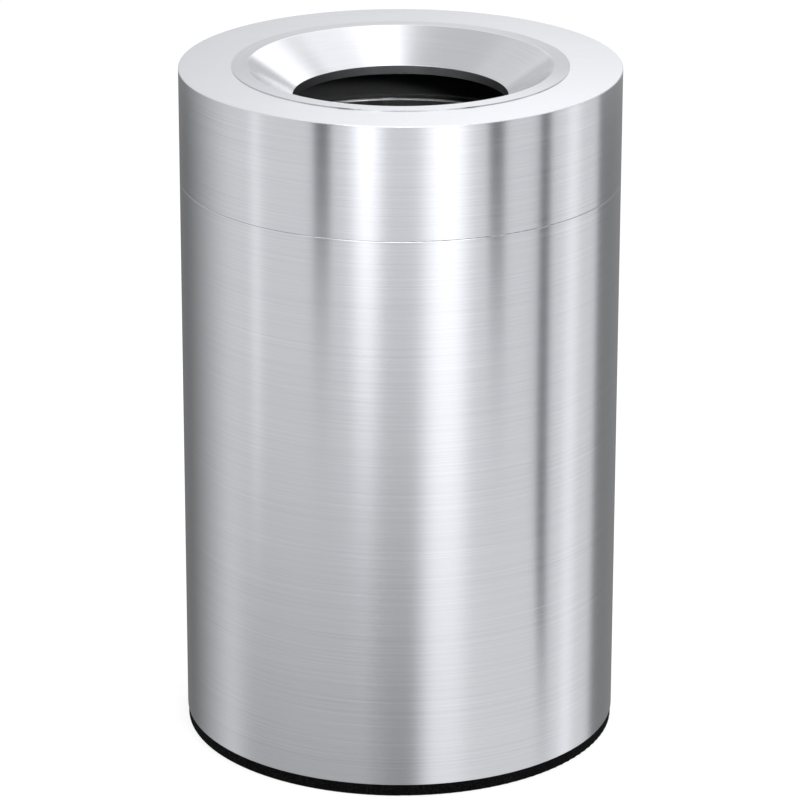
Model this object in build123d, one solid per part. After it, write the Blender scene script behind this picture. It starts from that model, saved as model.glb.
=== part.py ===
from build123d import *
from math import asin, atan, degrees
import os

# A floor-standing round litter bin of satin stainless steel: a can on a black
# foot ring, a lift-off lid with a funnel mouth, and a tapered liner with drop
# handles. Millimetres, +Z up, origin on the floor at the centre of the can.

# Clearances
seat_gap = 0.3              # between curved pieces that seat on each other
pivot_gap = 0.05            # radial, handle bar in its clip
rivet_gap = 0.1             # radial, rivet in its holes
rivet_seat = 0.05           # under a rivet's head
wire_gap = 0.15             # radial, rim wire in its curl
screw_gap = 0.15            # radial, screw or stud in a plain hole
thread_gap = 0.05           # radial, nut on its stud

# Can shell, rolled and butt welded
can_diameter = 520.0
can_sheet = 1.0
can_top = 684.0             # floor to the can's upper edge
hem_height = 8.0            # edge folded back inside, on the can and on the lid
hem_rounding = 0.8

# Foot ring, moulded
foot_height = 15.0
foot_inset = 1.0            # set in from the shell, all round
foot_width = 18.0
foot_rounding = 2.0

# Screws that hold the foot ring to the floor pan
screw_count = 6
screw_radius = 2.0
screw_head_radius = 4.0
screw_head_height = 2.6
screw_tail = 4.0            # stands above the pan
recess_radius = 5.0
recess_depth = 7.0

# Floor pan, pressed
pan_sheet = 1.2
pan_flange = 22.0
pan_rib_gap = 2.0           # from the liner's foot to the rib that centres it
pan_rib_height = 8.0
pan_rib_width = 14.0
pan_rib_lean = 4.0          # how far each side of the rib leans in

# Neck, a rolled band welded inside the can's hem and a spun ring butt welded on it
neck_sheet = 1.2
neck_lap = 34.0             # below the can's upper edge
neck_crest = 58.0           # above that edge, before the crest is rounded
neck_draft = 1.7            # narrows by this much up to the crest
neck_skirt = 12.0           # outer skirt of the ring, from the crest down to the band
neck_reach = 34.4           # from the crest in to the mouth
neck_mouth_rise = 37.0      # mouth above the can's upper edge
neck_lip = 6.0
neck_crest_bend = 5.0
neck_lip_bend = 1.6

# Lid, a hemmed skirt under a flat ring
lid_height = 134.4          # lower edge to the top of the plate
lid_sheet = 1.0
plate_sheet = 1.5
plate_rounding = 0.8
plate_margin = 62.0         # plate shown outside the funnel's flange
plate_hole_gap = 1.2        # round the funnel

# Funnel, spun
funnel_sheet = 1.0
flange_width = 18.6
cone_run = 53.0             # inward, over the depth
cone_depth = 36.0
funnel_lip = 10.3
cone_top_bend = 1.5
cone_foot_bend = 1.0

# Weld studs, washers and nuts under the funnel's flange
stud_count = 6
stud_radius = 2.5
stud_length = 14.0
washer_radius = 5.0
washer_sheet = 1.0
nut_across_flats = 8.0
nut_height = 4.0

# Liner, galvanised, its edge curled outward over a wire
liner_sheet = 0.8
liner_finger_gap = 18.6     # from the neck ring's mouth to the outside of the curl
liner_rim_proud = 1.0       # top of the curl above that mouth
liner_taper = 18.0          # from the curl's outside radius to the foot's
rim_wire_radius = 1.2
curl_wrap = 295.0           # degrees that the curl goes round the wire
bottom_raise = 10.0
bottom_gap = 0.2            # between the bottom's flange and the wall

# Drop handles, each a closed wire loop in a saddle clip
handle_below_rim = 54.0     # pivot under the top of the curl
handle_wire_radius = 3.0
handle_wall_gap = 1.0       # bar to the liner's wall
handle_drop = 42.0
handle_top_width = 76.0
handle_grip_width = 100.0
handle_corner = 9.0
clip_sheet = 1.5
clip_width = 48.0
clip_height = 40.0
clip_wall_gap = 0.2

# Rivets, two above and two below each handle's bar
rivet_radius = 2.0
rivet_head_radius = 3.6
rivet_head_height = 1.3
rivet_tail_radius = 3.0
rivet_tail_height = 0.8
rivet_spread = 34.0         # along the bar
rivet_rise = 14.0           # above and below the bar

# Places that follow from the sizes above
can_radius = can_diameter / 2
neck_radius = can_radius - 2 * max(can_sheet, lid_sheet) - seat_gap
crest_radius = neck_radius - neck_draft
mouth_radius = crest_radius - neck_reach
mouth_height = can_top + neck_mouth_rise
foot_radius = can_radius - foot_inset
screw_circle = foot_radius - foot_width / 2
pan_radius = can_radius - can_sheet - seat_gap
pan_top = foot_height + pan_sheet
plate_top = can_top + lid_height
plate_underside = plate_top - plate_sheet
flange_radius = can_radius - plate_margin
cone_top_radius = flange_radius - flange_width
cone_foot_radius = cone_top_radius - cone_run
stud_circle = flange_radius - flange_width / 2
nut_top = plate_underside - washer_sheet
liner_rim_radius = mouth_radius - liner_finger_gap
liner_rim_height = mouth_height + liner_rim_proud
liner_foot_radius = liner_rim_radius - liner_taper
handle_height = liner_rim_height - handle_below_rim
curl_inside = rim_wire_radius + wire_gap
curl_outside = curl_inside + liner_sheet
curl_ring = liner_rim_radius - curl_outside
curl_height = liner_rim_height - curl_outside
wall_slope = (curl_ring - curl_inside - liner_foot_radius) / (curl_height - pan_top)


def wall_radius(height):
    """Outside radius of the liner's tapered wall at a height above the floor."""
    return liner_foot_radius + wall_slope * (height - pan_top)


pivot_radius = wall_radius(handle_height) + handle_wall_gap + handle_wire_radius
pivot_bore = handle_wire_radius + pivot_gap


def turned(section):
    """Revolve a section, drawn as (radius, height), round the can's axis."""
    return revolve(Plane.XZ * section, axis=Axis.Z)


def outline(*points):
    """Closed straight-sided section."""
    return make_face(Polyline(*points, close=True).edges())


def sheet(points, thickness, bends):
    """Section of bent sheet: a path along one face, its thickness on the left."""
    path = FilletPolyline(*points, radius=bends)
    return make_face(offset(path, amount=thickness, side=Side.LEFT).edges())


def rounded(section, radius, corner):
    """Round the corner of a section that lies at a point."""
    vertex = section.vertices().sort_by_distance(Vector(*corner))[0]
    return fillet(vertex, radius)


def around(count, radius, height):
    """Places spaced evenly on a circle, half a pitch off the X axis."""
    spots = PolarLocations(radius, count, start_angle=180 / count)
    return [Pos(0, 0, height) * spot for spot in spots]


def drilled(body, places, radius, depth):
    """Cut a round hole centred on each place."""
    return body - [place * Cylinder(radius, depth) for place in places]


def group(solids):
    """Like pieces of one node, kept as separate solids."""
    return Compound(children=list(solids))


def headed_pin(shank, length, head, height):
    """Pin whose domed head stands on the XY plane and whose shank hangs below it."""
    dome = (head ** 2 + height ** 2) / (2 * height)
    crown = RadiusArc((head, 0), (0, height), -dome)
    sides = Polyline((0, height), (0, -length), (shank, -length), (shank, 0), (head, 0))
    return turned(make_face(crown.edges() + sides.edges()))


def hemmed_band(plain_edge, hemmed_edge, wall):
    """Rolled band, one edge folded back inside as a closed hem."""
    inside = can_radius - wall
    fold = inside - wall
    hem_end = hemmed_edge - hem_height if hemmed_edge > plain_edge else hemmed_edge + hem_height
    rounding = min(hem_rounding, 0.9 * wall)
    section = outline(
        (can_radius, plain_edge),
        (can_radius, hemmed_edge),
        (fold, hemmed_edge),
        (fold, hem_end),
        (inside, hem_end),
        (inside, plain_edge),
    )
    section = rounded(section, rounding, (can_radius, hemmed_edge))
    section = rounded(section, rounding, (fold, hemmed_edge))
    return turned(section)


def can_shell():
    return hemmed_band(foot_height, can_top, can_sheet)


def lid_skirt():
    return hemmed_band(plate_underside, can_top, lid_sheet)


def base_ring():
    """Moulded ring the shell stands on, counterbored from below for its screws."""
    inside = foot_radius - foot_width
    section = outline(
        (inside, 0),
        (foot_radius, 0),
        (foot_radius, foot_height),
        (inside, foot_height),
    )
    ring = turned(rounded(section, foot_rounding, (foot_radius, 0)))
    ring = drilled(ring, screw_places(0), recess_radius, 2 * recess_depth)
    return drilled(ring, screw_places(0), screw_radius + screw_gap, 2.5 * foot_height)


def screw_places(height):
    return around(screw_count, screw_circle, height)


def base_ring_screws():
    """Pan heads up in the counterbores, tails through the floor pan."""
    length = pan_top + screw_tail - recess_depth
    screw = headed_pin(screw_radius, length, screw_head_radius, screw_head_height)
    upright = Rot(180, 0, 0) * screw
    return group(place * upright for place in screw_places(recess_depth))


def floor_pan():
    """Flat floor, a pressed rib that centres the liner, and an upturned flange."""
    rib_start = liner_foot_radius + pan_rib_gap
    rib_end = rib_start + pan_rib_width
    rib_top = foot_height + pan_rib_height
    underside = [
        (0, foot_height),
        (rib_start, foot_height),
        (rib_start + pan_rib_lean, rib_top),
        (rib_end - pan_rib_lean, rib_top),
        (rib_end, foot_height),
        (pan_radius, foot_height),
        (pan_radius, foot_height + pan_flange),
    ]
    pan = turned(sheet(underside, pan_sheet, [0] * 5))
    return drilled(pan, screw_places(foot_height), screw_radius + screw_gap, 4 * pan_sheet)


def neck_section():
    """Whole section of the neck: lap, spigot, slope and turned-down lip."""
    outer_face = [
        (neck_radius, can_top - neck_lap),
        (neck_radius, can_top),
        (crest_radius, can_top + neck_crest),
        (mouth_radius, mouth_height),
        (mouth_radius, mouth_height - neck_lip),
    ]
    return sheet(outer_face, neck_sheet, [0, neck_crest_bend, neck_lip_bend])


def below_neck_weld():
    """Part of the section plane that holds the band, up to its butt weld with the ring."""
    inside = crest_radius - neck_reach / 2
    low = can_top - neck_lap
    weld = can_top + neck_crest - neck_skirt
    return outline((inside, low), (can_radius, low), (can_radius, weld), (inside, weld))


def neck_band():
    """Rolled band, lapped inside the can's hem, that the lid drops over."""
    return turned(neck_section() & below_neck_weld())


def neck_ring():
    """Spun ring on the band: outer skirt, slope in to the liner and turned-down lip."""
    return turned(neck_section() - below_neck_weld())


def lid_top_plate():
    """Flat ring with a rounded rim, drilled for the funnel's studs."""
    hole = cone_top_radius + plate_hole_gap
    section = outline(
        (hole, plate_underside),
        (can_radius, plate_underside),
        (can_radius, plate_top),
        (hole, plate_top),
    )
    plate = turned(rounded(section, plate_rounding, (can_radius, plate_top)))
    return drilled(plate, stud_places(plate_underside), stud_radius + screw_gap, 4 * plate_sheet)


def stud_places(height):
    return around(stud_count, stud_circle, height)


def funnel():
    """Flange on the plate, straight cone and turned-down lip in one spun sheet."""
    top = plate_top + funnel_sheet
    cone_foot = top - cone_depth
    shown_face = [
        (flange_radius, top),
        (cone_top_radius, top),
        (cone_foot_radius, cone_foot),
        (cone_foot_radius, cone_foot - funnel_lip),
    ]
    return turned(sheet(shown_face, funnel_sheet, [cone_top_bend, cone_foot_bend]))


def funnel_studs():
    middle = plate_top - stud_length / 2
    return group(place * Cylinder(stud_radius, stud_length) for place in stud_places(middle))


def funnel_washers():
    ring = Cylinder(washer_radius, washer_sheet) - Cylinder(stud_radius + screw_gap, washer_sheet)
    middle = nut_top + washer_sheet / 2
    return group(place * ring for place in stud_places(middle))


def funnel_nuts():
    flats = RegularPolygon(nut_across_flats / 2, 6, major_radius=False)
    nut = extrude(flats - Circle(stud_radius + thread_gap), nut_height)
    return group(place * nut for place in stud_places(nut_top - nut_height))


def liner_wall():
    """Tapered wall whose upper edge curls outward round the rim wire."""
    centre = (curl_ring, curl_height)
    curl_end = 180 - curl_wrap
    outer = CenterArc(centre, curl_outside, curl_end, curl_wrap)
    inner = CenterArc(centre, curl_inside, curl_end, curl_wrap)
    edge = Line(outer @ 0, inner @ 0)
    foot_inside = (liner_foot_radius - liner_sheet, pan_top)
    sides = Polyline(outer @ 1, foot_inside, (liner_foot_radius, pan_top), inner @ 1)
    section = make_face(outer.edges() + inner.edges() + edge.edges() + sides.edges())
    holes = [place * Cylinder(rivet_radius + rivet_gap, 8 * liner_sheet) for place in rivet_places()]
    return turned(section) - holes - [Rot(0, 0, 180) * hole for hole in holes]


def liner_rim_wire():
    return Pos(0, 0, curl_height) * Torus(curl_ring, rim_wire_radius)


def liner_bottom():
    """Raised disc, its flange turned down inside the wall to the wall's foot."""
    disc_top = pan_top + bottom_raise
    inset = liner_sheet + bottom_gap
    outer_face = [
        (wall_radius(pan_top) - inset, pan_top),
        (wall_radius(disc_top) - inset, disc_top),
        (0, disc_top),
    ]
    return turned(sheet(outer_face, liner_sheet, [0]))


def rivet_places():
    """Four places on the wall round the +X handle, each with Z square to the wall."""
    places = []
    for rise in (-rivet_rise, rivet_rise):
        height = handle_height + rise
        radius = wall_radius(height)
        for side in (-1, 1):
            turn = side * degrees(asin(rivet_spread / 2 / radius))
            lean = 90 - degrees(atan(-wall_slope))
            places.append(Rot(0, 0, turn) * Pos(radius, 0, height) * Rot(0, lean, 0))
    return places


def clip_rivets():
    """Domed heads on the clip, flat tails inside the liner."""
    head_seat = clip_wall_gap + clip_sheet + rivet_seat
    tail_seat = liner_sheet + rivet_seat
    pin = headed_pin(rivet_radius, head_seat + tail_seat, rivet_head_radius, rivet_head_height)
    tail = Pos(0, 0, -tail_seat - rivet_tail_height / 2) * Cylinder(rivet_tail_radius, rivet_tail_height)
    rivet = Pos(0, 0, head_seat) * pin + tail
    return group(place * rivet for place in rivet_places())


def handle_clip():
    """Pressed saddle: curved flanges on the wall, a straight hump over the bar."""
    low = handle_height - clip_height / 2
    high = handle_height + clip_height / 2
    back_low = wall_radius(low) + clip_wall_gap
    back_high = wall_radius(high) + clip_wall_gap
    flanges = turned(outline(
        (back_low, low),
        (back_low + clip_sheet, low),
        (back_high + clip_sheet, high),
        (back_high, high),
    ))
    behind = turned(outline((0, low), (back_low, low), (back_high, high), (0, high)))
    reach = clip_width
    window = Pos(pivot_radius, 0, handle_height) * Box(reach, clip_width, clip_height)
    hump_radius = pivot_bore + clip_sheet
    bar = Pos(pivot_radius, 0, handle_height) * Rot(90, 0, 0)
    legs = Pos(pivot_radius - reach / 4, 0, handle_height)
    hump = bar * Cylinder(hump_radius, clip_width)
    hump += legs * Box(reach / 2, clip_width, 2 * hump_radius)
    clip = (flanges & window) + (hump - behind)
    clip -= bar * Cylinder(pivot_bore, 2 * clip_width)
    clip -= legs * Box(reach / 2, 2 * clip_width, 2 * pivot_bore)
    return drilled(clip, rivet_places(), rivet_radius + rivet_gap, 8 * clip_sheet)


def drop_handle():
    """Closed loop of round wire that hangs from the bar inside the clip."""
    top = handle_height
    grip = handle_height - handle_drop
    loop = FilletPolyline(
        (pivot_radius, -handle_top_width / 2, top),
        (pivot_radius, handle_top_width / 2, top),
        (pivot_radius, handle_grip_width / 2, grip),
        (pivot_radius, -handle_grip_width / 2, grip),
        radius=handle_corner,
        close=True,
    )
    start = Plane(loop @ 0, z_dir=loop % 0)
    return sweep(start * Circle(handle_wire_radius), path=loop)


opposite = Rot(0, 0, 180)
nodes = {
    "can_shell": can_shell(),
    "floor_pan": floor_pan(),
    "base_ring": base_ring(),
    "base_ring_screws": base_ring_screws(),
    "neck_band": neck_band(),
    "neck_ring": neck_ring(),
    "lid_skirt": lid_skirt(),
    "lid_top_plate": lid_top_plate(),
    "funnel": funnel(),
    "funnel_studs": funnel_studs(),
    "funnel_washers": funnel_washers(),
    "funnel_nuts": funnel_nuts(),
    "liner_wall": liner_wall(),
    "liner_rim_wire": liner_rim_wire(),
    "liner_bottom": liner_bottom(),
    "handle_clip_right": handle_clip(),
    "handle_clip_left": opposite * handle_clip(),
    "clip_rivets_right": clip_rivets(),
    "clip_rivets_left": opposite * clip_rivets(),
    "drop_handle_right": drop_handle(),
    "drop_handle_left": opposite * drop_handle(),
}

os.makedirs("parts", exist_ok=True)
for name, shape in nodes.items():
    export_step(shape, f"parts/{name}.step")
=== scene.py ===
import bpy
from math import cos, pi, radians, sin, tan
from mathutils import Matrix, Vector


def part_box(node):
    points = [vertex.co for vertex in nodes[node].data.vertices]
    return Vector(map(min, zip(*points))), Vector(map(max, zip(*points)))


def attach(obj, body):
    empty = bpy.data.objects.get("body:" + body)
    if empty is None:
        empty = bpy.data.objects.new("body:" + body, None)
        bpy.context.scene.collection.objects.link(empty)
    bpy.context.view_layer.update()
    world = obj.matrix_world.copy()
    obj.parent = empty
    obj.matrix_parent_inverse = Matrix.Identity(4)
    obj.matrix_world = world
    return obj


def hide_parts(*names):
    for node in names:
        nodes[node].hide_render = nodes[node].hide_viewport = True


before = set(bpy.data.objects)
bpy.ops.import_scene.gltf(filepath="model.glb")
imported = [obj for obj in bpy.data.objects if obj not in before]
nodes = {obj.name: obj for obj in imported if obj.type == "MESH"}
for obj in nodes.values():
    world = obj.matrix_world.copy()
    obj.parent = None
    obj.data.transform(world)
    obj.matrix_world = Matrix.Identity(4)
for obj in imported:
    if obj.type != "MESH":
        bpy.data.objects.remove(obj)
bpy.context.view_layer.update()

# Camera: above the can on a long lens, looking down into the mouth from the front. Its
# place, tilt and lens were fitted to the photo's ellipses, and it rolls very slightly.
camera_roll = 0.0018
camera = bpy.data.objects.new("camera", bpy.data.cameras.new("camera"))
bpy.context.scene.collection.objects.link(camera)
camera.location = (0.0, -4.851, 2.144)
tilt = Matrix.Rotation(radians(70.25), 3, "X") @ Matrix.Rotation(camera_roll, 3, "Z")
camera.rotation_euler = tilt.to_euler()
camera.data.lens = 193.05
camera.data.sensor_width = 36.0
camera.data.clip_end = 60.0
bpy.context.scene.camera = camera
bpy.context.scene.view_settings.view_transform = "Standard"


# The room: plain white all round. The camera and the polished steel see it at full
# white, and it lights everything else more softly.
world = bpy.data.worlds.new("white_room")
bpy.context.scene.world = world
world.use_nodes = True
room = world.node_tree
room.nodes.clear()
path = room.nodes.new("ShaderNodeLightPath")
seen = room.nodes.new("ShaderNodeMath")
seen.operation = "MAXIMUM"
room.links.new(path.outputs["Is Camera Ray"], seen.inputs[0])
room.links.new(path.outputs["Is Glossy Ray"], seen.inputs[1])
through = room.nodes.new("ShaderNodeMath")
through.operation = "MAXIMUM"
room.links.new(seen.outputs[0], through.inputs[0])
room.links.new(path.outputs["Is Transmission Ray"], through.inputs[1])
white_as_light, white_as_seen = 0.62, 1.0
level = room.nodes.new("ShaderNodeMapRange")
level.inputs["To Min"].default_value = white_as_light
level.inputs["To Max"].default_value = white_as_seen
room.links.new(through.outputs[0], level.inputs["Value"])
white = room.nodes.new("ShaderNodeBackground")
white.inputs["Color"].default_value = (1.0, 1.0, 1.0, 1.0)
room.links.new(level.outputs[0], white.inputs["Strength"])
room_out = room.nodes.new("ShaderNodeOutputWorld")
room.links.new(white.outputs[0], room_out.inputs["Surface"])


# Floor: a pale painted studio floor that keeps a faint contact shadow. It is clear from
# below, so that the underside of the can shows there.
def plain_mesh(name, verts, faces):
    """A mesh object made from points and faces, in metres."""
    mesh = bpy.data.meshes.new(name)
    mesh.from_pydata(verts, [], faces)
    mesh.update()
    piece = bpy.data.objects.new(name, mesh)
    bpy.context.scene.collection.objects.link(piece)
    return piece


square = ((-1, -1), (1, -1), (1, 1), (-1, 1))       # corners, scaled where they are used
floor_half = 30
floor_drop = 0.0001         # just clear of the foot ring's face
floor_colour = (0.30, 0.30, 0.30)
floor_glow = 0.80
floor_corners = [(x * floor_half, y * floor_half, 0) for x, y in square]
floor = plain_mesh("floor", floor_corners, [(0, 1, 2, 3)])
floor.location.z = -floor_drop
pale = bpy.data.materials.new("pale_floor")
pale.use_nodes = True
tree = pale.node_tree
tree.nodes.clear()
paint = tree.nodes.new("ShaderNodeBsdfDiffuse")
paint.inputs["Color"].default_value = (*floor_colour, 1.0)
glow = tree.nodes.new("ShaderNodeEmission")
glow.inputs["Strength"].default_value = floor_glow
both = tree.nodes.new("ShaderNodeAddShader")
tree.links.new(paint.outputs[0], both.inputs[0])
tree.links.new(glow.outputs[0], both.inputs[1])
side = tree.nodes.new("ShaderNodeNewGeometry")
clear = tree.nodes.new("ShaderNodeBsdfTransparent")
one_way = tree.nodes.new("ShaderNodeMixShader")
tree.links.new(side.outputs["Backfacing"], one_way.inputs["Fac"])
tree.links.new(both.outputs[0], one_way.inputs[1])
tree.links.new(clear.outputs[0], one_way.inputs[2])
floor_out = tree.nodes.new("ShaderNodeOutputMaterial")
tree.links.new(one_way.outputs[0], floor_out.inputs["Surface"])
floor.data.materials.append(pale)
floor.visible_glossy = False


# Lamps for what isn't polished: a soft key from the front right, a wide overhead fill,
# and a narrow one that reaches in through the mouth to the back of the neck.
def soft_lamp(name, place, target, size, power, spread=180):
    """A square area lamp at a place, turned to its target and unseen in the steel."""
    lamp = bpy.data.lights.new(name, "AREA")
    lamp.size = size
    lamp.energy = power
    lamp.spread = radians(spread)
    holder = bpy.data.objects.new(name, lamp)
    bpy.context.scene.collection.objects.link(holder)
    holder.location = place
    aim = Vector(target) - Vector(place)
    holder.rotation_euler = aim.to_track_quat("-Z", "Y").to_euler()
    holder.visible_glossy = False


soft_lamp("key", (1.5, -1.9, 2.9), (0.0, 0.0, 0.5), 1.6, 36.0)
soft_lamp("overhead", (0.0, 0.3, 3.4), (0.0, 0.0, 0.0), 2.6, 40.0)
soft_lamp("mouth_light", (0.6, -1.55, 1.42), (-0.05, 0.19, 0.722), 0.2, 0.35, 14)


# Studio cards: grey, black and bright panels that stand round the can and hang over it.
# Only the steel mirrors them: they light nothing else and cast no shadow.
def card(
    name, turn, distance, width, low, high, brightness,
    soft_left, soft_right, soft_low, soft_high,
):
    """An upright panel that faces the can's axis.

    Turn, from the front towards +X, and width are in degrees as seen from the axis;
    distance, low and high in metres; each soft edge is a share of the panel.
    """
    half = distance * tan(radians(width / 2))
    piece = plain_mesh(
        name,
        [(-half, 0, low), (half, 0, low), (half, 0, high), (-half, 0, high)],
        [(0, 1, 2, 3)],
    )
    piece.location = (distance * sin(radians(turn)), -distance * cos(radians(turn)), 0)
    piece.rotation_euler = (0, 0, radians(turn))
    panel_edges(piece, brightness, soft_left, soft_right, "Z", soft_low, soft_high)


def panel_edges(piece, brightness, soft_left, soft_right, second, soft_low, soft_high):
    """Make a piece a glowing stage panel that fades out towards its edges."""
    panel = bpy.data.materials.new(piece.name)
    panel.use_nodes = True
    tree = panel.node_tree
    tree.nodes.clear()
    place = tree.nodes.new("ShaderNodeTexCoord")
    split = tree.nodes.new("ShaderNodeSeparateXYZ")
    tree.links.new(place.outputs["Generated"], split.inputs[0])
    mask = None
    for axis, edge, soft in (
        ("X", 0.0, soft_left), ("X", 1.0, -soft_right),
        (second, 0.0, soft_low), (second, 1.0, -soft_high),
    ):
        ramp = tree.nodes.new("ShaderNodeMapRange")
        ramp.interpolation_type = "SMOOTHSTEP"
        ramp.inputs["From Min"].default_value = edge
        ramp.inputs["From Max"].default_value = edge + soft
        tree.links.new(split.outputs[axis], ramp.inputs["Value"])
        if mask is None:
            mask = ramp.outputs[0]
        else:
            product = tree.nodes.new("ShaderNodeMath")
            product.operation = "MULTIPLY"
            tree.links.new(mask, product.inputs[0])
            tree.links.new(ramp.outputs[0], product.inputs[1])
            mask = product.outputs[0]
    clear = tree.nodes.new("ShaderNodeBsdfTransparent")
    shine = tree.nodes.new("ShaderNodeEmission")
    shine.inputs["Color"].default_value = (1.0, 1.0, 1.0, 1.0)
    shine.inputs["Strength"].default_value = brightness
    mix = tree.nodes.new("ShaderNodeMixShader")
    tree.links.new(mask, mix.inputs["Fac"])
    tree.links.new(clear.outputs[0], mix.inputs[1])
    tree.links.new(shine.outputs[0], mix.inputs[2])
    out = tree.nodes.new("ShaderNodeOutputMaterial")
    tree.links.new(mix.outputs[0], out.inputs["Surface"])
    piece.data.materials.append(panel)
    piece.visible_camera = False
    piece.visible_diffuse = False
    piece.visible_shadow = False
    piece.visible_transmission = False


card("flag_back_right", 130, 0.62, 52, -1.2, 0.76, 0.28, 0.02, 0.02, 0.1, 0.02)
card("flag_back_left", -117, 0.62, 78, -1.2, 0.76, 0.21, 0.02, 0.60, 0.1, 0.02)
card("flag_right", 70.4, 1.0, 7, -0.22, 0.9, 0.0, 0.15, 0.15, 0.12, 0.1)
card("flag_high_left", -35.2, 1.0, 10, 0.36, 1.8, 0.02, 0.25, 0.25, 0.1, 0.1)
card("flag_high_right", 43.9, 1.0, 10, 0.30, 1.8, 0.05, 0.25, 0.25, 0.14, 0.1)
card("strip_left", -15.0, 1.02, 21, -0.1, 2.0, 2.4, 0.5, 0.5, 0.45, 0.1)
card("strip_right", 20.5, 1.03, 30, -0.7, 2.0, 2.0, 0.45, 0.40, 0.58, 0.1)
card("strip_far_left", -70.4, 1.0, 9, -0.1, 1.6, 1.35, 0.4, 0.4, 0.3, 0.1)
card("strip_far_right", 89.0, 1.0, 15, -0.9, 1.6, 1.40, 0.4, 0.4, 0.1, 0.1)
card("low_front", 0, 1.5, 34, -2.4, 0.45, 0.05, 0.4, 0.4, 0.05, 0.55)
card("low_left", -52, 1.5, 96, -2.4, 0.25, 0.36, 0.3, 0.15, 0.05, 0.5)
card("band_behind", 180, 1.6, 150, 0.85, 1.42, 0.78, 0.05, 0.05, 0.1, 0.3)
card("panel_behind", 170, 1.7, 64, 1.20, 3.4, 2.05, 0.35, 0.5, 0.18, 0.1)
card("panel_right", 143, 1.8, 30, 1.30, 2.6, 1.7, 0.45, 0.45, 0.35, 0.5)


def ceiling_panel(name, left, right, front, back, height, brightness, soft_left, soft_right):
    """A level panel over the can, in metres; each soft edge is a share of the panel."""
    corners = ((left, front), (right, front), (right, back), (left, back))
    piece = plain_mesh(name, [(x, y, height) for x, y in corners], [(0, 1, 2, 3)])
    soft_end = 0.1
    panel_edges(piece, brightness, soft_left, soft_right, "Y", soft_end, soft_end)


ceiling_panel("softbox", -0.25, 0.75, -1.3, 1.5, 2.9, 2.4, 0.5, 0.5)
ceiling_panel("side_box", 0.35, 3.0, -1.3, 1.5, 2.95, 1.5, 0.15, 0.3)
ceiling_panel("left_box", -3.0, -0.2, -1.3, 1.5, 2.95, 0.87, 0.3, 0.1)
ceiling_panel("hem_light", -2.6, 2.8, -3.4, -1.1, 2.85, 6.0, 0.15, 0.15)


# Can shell and lid skirt: satin stainless sheet, rolled, brushed round the body and
# butt welded up the back, with the weld ground back nearly flush.
def finish(name, colour, metallic, roughness):
    """A new material: its node tree and its shader, with the plain values set."""
    made = bpy.data.materials.new(name)
    made.use_nodes = True
    shader = made.node_tree.nodes["Principled BSDF"]
    shader.inputs["Base Color"].default_value = (*colour, 1.0)
    shader.inputs["Metallic"].default_value = metallic
    shader.inputs["Roughness"].default_value = roughness
    return made, made.node_tree, shader


def stretched(tree, scale=(1.0, 1.0, 1.0)):
    """Object coordinates, scaled by a different amount along each axis where wanted."""
    place = tree.nodes.new("ShaderNodeTexCoord")
    mapping = tree.nodes.new("ShaderNodeMapping")
    mapping.inputs["Scale"].default_value = scale
    tree.links.new(place.outputs["Object"], mapping.inputs["Vector"])
    return mapping.outputs[0]


def along_axes(tree):
    """Object coordinates as three separate values, in metres."""
    place = tree.nodes.new("ShaderNodeTexCoord")
    split = tree.nodes.new("ShaderNodeSeparateXYZ")
    tree.links.new(place.outputs["Object"], split.inputs[0])
    return split.outputs["X"], split.outputs["Y"], split.outputs["Z"]


def noise(tree, vector, scale, detail, rough=0.5):
    """A noise value between 0 and 1."""
    texture = tree.nodes.new("ShaderNodeTexNoise")
    texture.inputs["Scale"].default_value = scale
    texture.inputs["Detail"].default_value = detail
    texture.inputs["Roughness"].default_value = rough
    tree.links.new(vector, texture.inputs["Vector"])
    return texture.outputs["Fac"]


def between(tree, value, low, high, from_low=0.0, from_high=1.0):
    """A value moved from one range to another, and held inside it."""
    span = tree.nodes.new("ShaderNodeMapRange")
    span.inputs["From Min"].default_value = from_low
    span.inputs["From Max"].default_value = from_high
    span.inputs["To Min"].default_value = low
    span.inputs["To Max"].default_value = high
    tree.links.new(value, span.inputs["Value"])
    return span.outputs[0]


def combine(tree, operation, first, second):
    """Two values, or a value and a number, put together."""
    step = tree.nodes.new("ShaderNodeMath")
    step.operation = operation
    for slot, value in enumerate((first, second)):
        if isinstance(value, (int, float)):
            step.inputs[slot].default_value = value
        else:
            tree.links.new(value, step.inputs[slot])
    return step.outputs[0]


def tinted(tree, shader, value, dark, light):
    """Base colour that runs from a dark to a light tone with a value."""
    tone = tree.nodes.new("ShaderNodeMix")
    tone.data_type = "RGBA"
    tone.inputs["A"].default_value = (*dark, 1.0)
    tone.inputs["B"].default_value = (*light, 1.0)
    tree.links.new(value, tone.inputs["Factor"])
    tree.links.new(tone.outputs["Result"], shader.inputs["Base Color"])


def bumped(tree, shader, height, distance, strength=1.0):
    """Relief from a height value, its depth in metres."""
    bump = tree.nodes.new("ShaderNodeBump")
    bump.inputs["Strength"].default_value = strength
    bump.inputs["Distance"].default_value = distance
    tree.links.new(height, bump.inputs["Height"])
    tree.links.new(bump.outputs[0], shader.inputs["Normal"])


def round_tangent(tree, shader):
    """Brush lines that run round the can's axis."""
    tangent = tree.nodes.new("ShaderNodeTangent")
    tangent.direction_type = "RADIAL"
    tangent.axis = "Z"
    tree.links.new(tangent.outputs[0], shader.inputs["Tangent"])


def coat_node(name, made):
    """Give a CAD node one material."""
    nodes[name].data.materials.clear()
    nodes[name].data.materials.append(made)


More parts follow.
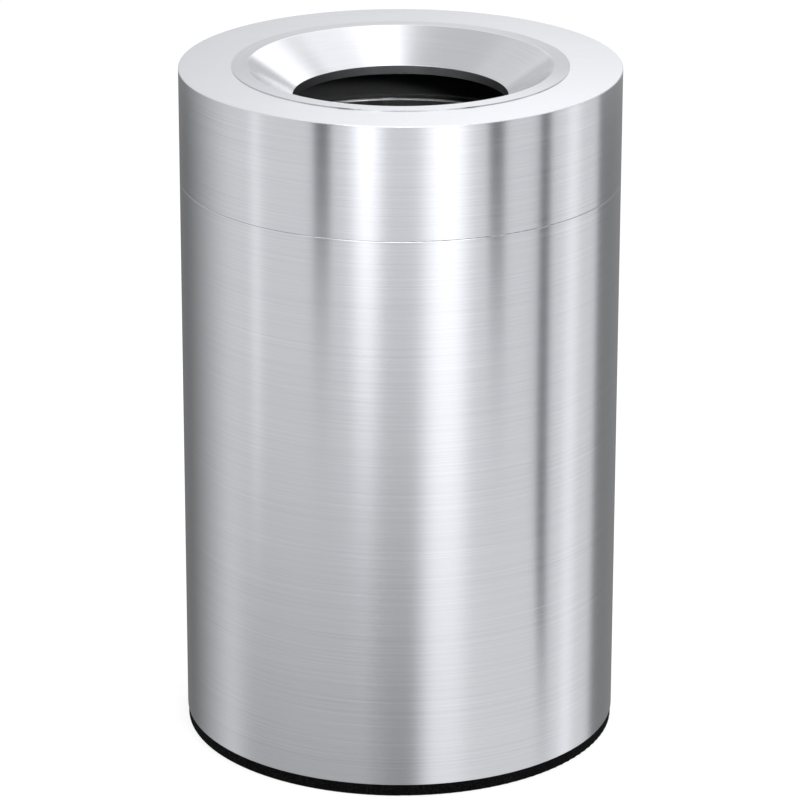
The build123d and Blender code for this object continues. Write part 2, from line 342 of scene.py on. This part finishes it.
long_grain = (2.2, 2.2, 800.0)          # noise cells to a metre, along X, Y and Z
fine_grain = (9.0, 9.0, 2000.0)
brush_depth = 0.00002
weld_crest, weld_edge = 0.0006, 0.0022  # half widths
body_steel, tree, shader = finish("body_steel", (0.58, 0.585, 0.60), 1.0, 0.25)
long_streaks = noise(tree, stretched(tree, long_grain), 1.0, 3.0, 0.6)
fine_streaks = noise(tree, stretched(tree, fine_grain), 1.0, 2.0, 0.6)
streaks = combine(
    tree, "ADD",
    combine(tree, "MULTIPLY", long_streaks, 0.55),
    combine(tree, "MULTIPLY", fine_streaks, 0.45),
)
across, depth = along_axes(tree)[:2]
from_weld = combine(tree, "ABSOLUTE", across, 0.0)
near_weld = between(tree, from_weld, 1.0, 0.0, weld_crest, weld_edge)
weld = combine(tree, "MULTIPLY", near_weld, combine(tree, "GREATER_THAN", depth, 0.0))
brushed = between(tree, streaks, 0.0, 1.0, 0.25, 0.75)
shade = combine(tree, "SUBTRACT", brushed, combine(tree, "MULTIPLY", weld, 0.9))
shade = combine(tree, "MAXIMUM", shade, 0.0)
tinted(tree, shader, shade, (0.524, 0.534, 0.563), (0.625, 0.635, 0.665))
rough = between(tree, streaks, 0.225, 0.275, 0.25, 0.75)
rough = combine(tree, "ADD", rough, combine(tree, "MULTIPLY", weld, 0.12))
tree.links.new(rough, shader.inputs["Roughness"])
relief = combine(tree, "ADD", streaks, combine(tree, "MULTIPLY", weld, 4.0))
bumped(tree, shader, relief, brush_depth, 0.35)
round_tangent(tree, shader)
shader.inputs["Anisotropic"].default_value = 0.85
shader.inputs["Anisotropic Rotation"].default_value = 0.25
coat_node("can_shell", body_steel)
coat_node("lid_skirt", body_steel)


# Lid plate: a flat ring of satin stainless sheet with its outer edge rounded, welded on
# the skirt. Its grain runs straight across from side to side.
plate_grain = (12.0, 900.0, 12.0)
plate_steel, tree, shader = finish("plate_steel", (0.58, 0.585, 0.60), 1.0, 0.23)
grain = noise(tree, stretched(tree, plate_grain), 1.0, 3.0, 0.6)
shade = between(tree, grain, 0.0, 1.0, 0.25, 0.75)
tinted(tree, shader, shade, (0.563, 0.573, 0.603), (0.596, 0.606, 0.636))
tree.links.new(between(tree, grain, 0.21, 0.25, 0.25, 0.75), shader.inputs["Roughness"])
bumped(tree, shader, grain, brush_depth, 0.25)
square_on = tree.nodes.new("ShaderNodeCombineXYZ")
square_on.inputs["Y"].default_value = 1.0
tree.links.new(square_on.outputs[0], shader.inputs["Tangent"])
shader.inputs["Anisotropic"].default_value = 0.7
coat_node("lid_top_plate", plate_steel)


# Funnel: spun from one sheet, with the fine rings that spinning and polishing leave on
# the flange and the cone. The inner face of the turned-down lip at its foot is rougher, and its
# colour is painted dark as shade.
def spun(name, dark, light, smooth, dull):
    """Steel with rings round the axis, from a dark to a light tone."""
    cells_out, cells_round = 900.0, 8.0     # to a metre
    made, tree, shader = finish(name, light, 1.0, dull)
    across, depth = along_axes(tree)[:2]
    radius = combine(
        tree, "ADD",
        combine(tree, "MULTIPLY", across, across),
        combine(tree, "MULTIPLY", depth, depth),
    )
    radius = combine(tree, "SQRT", radius, 0.0)
    ring_place = tree.nodes.new("ShaderNodeCombineXYZ")
    for axis, value, cells in (
        ("X", radius, cells_out), ("Y", across, cells_round), ("Z", depth, cells_round),
    ):
        tree.links.new(combine(tree, "MULTIPLY", value, cells), ring_place.inputs[axis])
    rings = noise(tree, ring_place.outputs[0], 1.0, 3.0, 0.6)
    tinted(tree, shader, between(tree, rings, 0.0, 1.0, 0.25, 0.75), dark, light)
    tree.links.new(between(tree, rings, smooth, dull, 0.25, 0.75), shader.inputs["Roughness"])
    bumped(tree, shader, rings, brush_depth, 0.25)
    round_tangent(tree, shader)
    shader.inputs["Anisotropic"].default_value = 0.7
    shader.inputs["Anisotropic Rotation"].default_value = 0.25
    return made


def faces_axis(face):
    """Whether a face of a round piece looks in towards the can's axis."""
    return face.center.x * face.normal.x + face.center.y * face.normal.y < 0.0


coat_node("funnel", spun("spun_steel", (0.54, 0.548, 0.575), (0.575, 0.584, 0.61), 0.18, 0.22))
# Painted shade: the lip's inner face gets a steel of about half the cone's tone.
shaded_lip_steel = spun("shaded_lip_steel", (0.25, 0.253, 0.26), (0.30, 0.303, 0.31), 0.26, 0.32)
nodes["funnel"].data.materials.append(shaded_lip_steel)
lip_height = 0.0103
cone_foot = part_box("funnel")[0].z + lip_height
for face in nodes["funnel"].data.polygons:
    if faces_axis(face) and face.center.z < cone_foot:
        face.material_index = 1


# Neck: a rolled steel band and a spun ring, butt welded to each other and fixed inside
# the can's mouth, under satin black powder coat with slight orange peel.
neck_black, tree, shader = finish("neck_black", (0.02, 0.02, 0.021), 0.0, 0.36)
peel = noise(tree, stretched(tree), 420.0, 2.0)
shade = between(tree, peel, 0.0, 1.0, 0.3, 0.7)
tinted(tree, shader, shade, (0.018, 0.018, 0.019), (0.026, 0.026, 0.027))
tree.links.new(between(tree, peel, 0.33, 0.41, 0.3, 0.7), shader.inputs["Roughness"])
bumped(tree, shader, peel, 0.0001, 0.3)
coat_node("neck_ring", neck_black)
coat_node("neck_band", neck_black)


# Foot ring: one black plastic moulding with a fine pebbled skin, screwed on from below
# into the floor pan.
foot_black, tree, shader = finish("foot_black", (0.002, 0.002, 0.002), 0.0, 0.68)
cells = tree.nodes.new("ShaderNodeTexVoronoi")
cells.inputs["Scale"].default_value = 650.0
tree.links.new(stretched(tree), cells.inputs["Vector"])
specks = noise(tree, stretched(tree), 900.0, 3.0, 0.7)
pebbles = combine(tree, "ADD", cells.outputs["Distance"], specks)
shade = between(tree, specks, 0.0, 1.0, 0.56, 0.72)
tinted(tree, shader, shade, (0.0015, 0.0015, 0.0015), (0.045, 0.045, 0.046))
tree.links.new(between(tree, specks, 0.60, 0.76, 0.3, 0.7), shader.inputs["Roughness"])
shader.inputs["Specular IOR Level"].default_value = 0.02
bumped(tree, shader, pebbles, 0.0004, 0.8)
coat_node("base_ring", foot_black)


# Liner, floor pan and handle clips: galvanised sheet with its spangle. The inside walls and
# floor of the liner get a darker, fully metallic zinc: painted shade.
def galvanised(name, dark, light, metallic, roughness):
    """Hot dipped zinc: crystals in flakes of slightly different grey."""
    made, tree, shader = finish(name, light, metallic, roughness)
    flakes = tree.nodes.new("ShaderNodeTexVoronoi")
    flakes.inputs["Scale"].default_value = 90.0
    wander = noise(tree, stretched(tree), 60.0, 3.0)
    moved = tree.nodes.new("ShaderNodeVectorMath")
    moved.operation = "MULTIPLY_ADD"
    moved.inputs[1].default_value = (0.012, 0.012, 0.012)
    tree.links.new(wander, moved.inputs[0])
    tree.links.new(stretched(tree), moved.inputs[2])
    tree.links.new(moved.outputs[0], flakes.inputs["Vector"])
    shade = tree.nodes.new("ShaderNodeSeparateColor")
    tree.links.new(flakes.outputs["Color"], shade.inputs[0])
    tinted(tree, shader, shade.outputs[0], dark, light)
    rough = between(tree, shade.outputs[1], roughness - 0.06, roughness + 0.08)
    tree.links.new(rough, shader.inputs["Roughness"])
    bumped(tree, shader, wander, 0.0004, 0.15)
    return made, tree, shader


zinc_sheet = galvanised("zinc_sheet", (0.42, 0.43, 0.44), (0.55, 0.56, 0.57), 0.6, 0.40)[0]
for name in ("liner_wall", "liner_bottom", "floor_pan", "handle_clip_left", "handle_clip_right"):
    coat_node(name, zinc_sheet)

# Painted shade: a darker zinc for the liner's inside walls and floor, where little light
# reaches.
shaded_liner_inside, tree, shader = galvanised(
    "shaded_liner_inside", (0.07, 0.07, 0.074), (0.10, 0.10, 0.105), 1.0, 0.42,
)
round_tangent(tree, shader)
shader.inputs["Anisotropic"].default_value = 0.7
shader.inputs["Anisotropic Rotation"].default_value = 0.25
# Inner wall faces below this height take the painted shade.
painted_shade_top = 0.7185        # the curled edge above this height stays bright
nodes["liner_wall"].data.materials.append(shaded_liner_inside)
for face in nodes["liner_wall"].data.polygons:
    if faces_axis(face) and face.center.z < painted_shade_top:
        face.material_index = 1
nodes["liner_bottom"].data.materials.append(shaded_liner_inside)
for face in nodes["liner_bottom"].data.polygons:
    if face.normal.z > 0.5:
        face.material_index = 1


# Lock seam of the liner: the wall's two edges folded into each other, a flat raised
# strip up the outside, 8 mm wide, at the front where the can hides it.
wall_low, wall_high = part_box("liner_wall")
bottom_inset = 0.0010       # the liner's sheet and the gap to its bottom
rim_inset = 0.0041          # from the rim wire's outside in to the top of the seam's line
line_top = wall_high.z - 0.002
seam_foot, seam_top = 0.022, 0.700
seam_rows = 24
# The seam's line flares less than the wall, so higher up the strip sinks into the wall
# and its back edges come through to the inside, by less than a millimetre.
foot_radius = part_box("liner_bottom")[1].x + bottom_inset
rim_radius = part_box("liner_rim_wire")[1].x - rim_inset
# Across the seam and out from its line, in millimetres.
profile = (
    (-4.0, -0.2), (-3.9, 0.6), (-3.2, 1.1), (0.0, 1.25),
    (3.2, 1.1), (3.9, 0.6), (4.0, -0.2),
)
seam_points = []
for row in range(seam_rows + 1):
    height = seam_foot + row / seam_rows * (seam_top - seam_foot)
    up_line = (height - wall_low.z) / (line_top - wall_low.z)
    reach = foot_radius + (rim_radius - foot_radius) * up_line
    for side, stand in profile:
        turn = side / 1000 / reach
        out = reach + stand / 1000
        seam_points.append((out * sin(turn), -out * cos(turn), height))
width = len(profile)
seam_faces = [
    (row * width + k, row * width + k + 1, (row + 1) * width + k + 1, (row + 1) * width + k)
    for row in range(seam_rows)
    for k in range(width - 1)
]
seam_faces += [tuple(range(width))[::-1], tuple(seam_rows * width + k for k in range(width))]
lock_seam = plain_mesh("liner_lock_seam", seam_points, seam_faces)
for face in lock_seam.data.polygons:
    face.use_smooth = True
lock_seam.data.materials.append(zinc_sheet)
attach(lock_seam, "liner")


# Rim wire, drop handles, rivets, washers and nuts: drawn, turned or pressed steel under
# bright zinc plate, slightly mottled.
def zinc_plate(name):
    """Zinc plate on turned or drawn steel: its shader, ready for relief."""
    made, tree, shader = finish(name, (0.60, 0.60, 0.58), 0.85, 0.32)
    mottle = noise(tree, stretched(tree), 260.0, 3.0)
    shade = between(tree, mottle, 0.0, 1.0, 0.3, 0.7)
    tinted(tree, shader, shade, (0.55, 0.55, 0.53), (0.65, 0.65, 0.62))
    tree.links.new(between(tree, mottle, 0.27, 0.40, 0.3, 0.7), shader.inputs["Roughness"])
    return made, tree, shader


wire_zinc = zinc_plate("wire_zinc")[0]
for name in (
    "liner_rim_wire", "drop_handle_left", "drop_handle_right",
    "clip_rivets_left", "clip_rivets_right", "funnel_washers", "funnel_nuts",
):
    coat_node(name, wire_zinc)


# Weld studs and foot ring screws: the same plate, with a rolled thread of 0.8 mm pitch.
# Each pan head has a cross recess.
def threaded(name, thread_from):
    """Zinc plate with a thread that winds up the shank above a height."""
    thread_pitch, thread_depth = 0.0008, 0.0003
    made, tree, shader = zinc_plate(name)
    up = along_axes(tree)[2]
    winding = combine(tree, "SINE", combine(tree, "MULTIPLY", up, 2 * pi / thread_pitch), 0.0)
    cut = combine(tree, "MULTIPLY", winding, combine(tree, "GREATER_THAN", up, thread_from))
    bumped(tree, shader, cut, thread_depth, 0.9)
    return made


coat_node("funnel_studs", threaded("stud_thread", 0.0))
above_heads = 0.0075
screw_zinc = threaded("screw_thread", above_heads)
coat_node("base_ring_screws", screw_zinc)
screws = nodes["base_ring_screws"].copy()
screws.data = nodes["base_ring_screws"].data.copy()
screws.name = "foot_screws"
screws.data.name = "foot_screws"
for key in list(screws.keys()):
    del screws[key]
screws.parent = None
screws.matrix_world = Matrix.Identity(4)
bpy.context.scene.collection.objects.link(screws)
screw_count, first_screw = 6, 30
head_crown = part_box("base_ring_screws")[0].z
head_radius, crown_end = 0.004, 0.005
# The ring of crosses is set out from the crowns, which are narrower than the heads, so
# it lies 2.2 mm nearer the can's axis than the middles of the heads.
crown_points = [point.co for point in screws.data.vertices if point.co.z < crown_end]
cross_circle = max(point.xy.length for point in crown_points) - head_radius
# Height, half length and half width of one arm of the cross.
recess_mouth = (head_crown - 0.001, 0.0021, 0.00055)
recess_foot = (head_crown + 0.0016, 0.0008, 0.00035)
arm_sides = ((3, 2, 1, 0), (4, 5, 6, 7), (0, 1, 5, 4), (1, 2, 6, 5), (2, 3, 7, 6), (3, 0, 4, 7))
cross_points = []
cross_faces = []
for place in range(screw_count):
    turn = radians(360 * place / screw_count + first_screw)
    middle_x, middle_y = cross_circle * cos(turn), cross_circle * sin(turn)
    for arm in (0, 90):
        first = len(cross_points)
        to_arm = Matrix.Rotation(turn + radians(arm), 3, "Z")
        for height, half_long, half_wide in (recess_mouth, recess_foot):
            for x, y in square:
                corner = to_arm @ Vector((x * half_long, y * half_wide, 0))
                cross_points.append((middle_x + corner.x, middle_y + corner.y, height))
        cross_faces += [tuple(first + k for k in side) for side in arm_sides]
cutter = plain_mesh("cross_cutter", cross_points, cross_faces)
recess = screws.modifiers.new("recess", "BOOLEAN")
recess.operation = "DIFFERENCE"
recess.solver = "EXACT"
recess.use_self = True
recess.object = cutter
bpy.context.view_layer.update()
cut_screws = screws.evaluated_get(bpy.context.evaluated_depsgraph_get())
carved = bpy.data.meshes.new_from_object(cut_screws)
screws.modifiers.clear()
screws.data = carved
bpy.data.objects.remove(cutter)
carved.materials.clear()
carved.materials.append(screw_zinc)
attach(screws, "can")
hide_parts("base_ring_screws")
